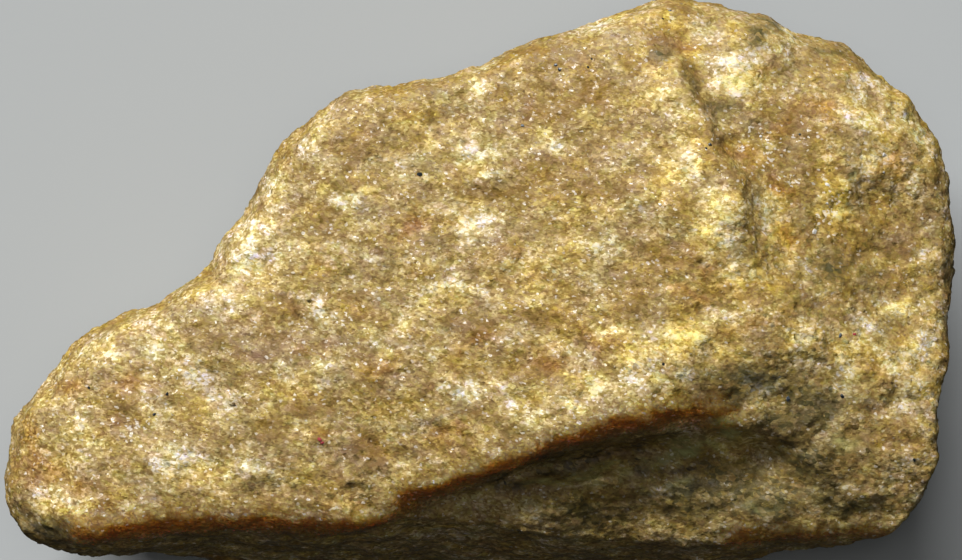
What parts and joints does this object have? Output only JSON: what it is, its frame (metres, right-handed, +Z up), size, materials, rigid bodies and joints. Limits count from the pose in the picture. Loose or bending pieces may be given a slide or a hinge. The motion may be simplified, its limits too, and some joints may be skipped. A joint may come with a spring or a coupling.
{
  "type": "quartzite specimen",
  "caption": "Broken hand specimen of coarse yellow-brown quartzite, wedge-shaped, with a broad flat face, a hollow under a sharp brow and a flat break to rest on.",
  "frame": {"origin": "on the resting plane, under the middle of the stone's bounding box", "axes": "+X along the length, away from the pointed end; +Y across the broad face, away from the steep lower face; +Z up, out of the broad face"},
  "size_m": [0.08, 0.0486, 0.03],
  "materials": {
    "quartzite": "broken sugary grain, slightly translucent, dull with small bright glints"
  },
  "bodies": {
    "root": {"quartzite_specimen": "quartzite"}
  },
  "joints": []
}
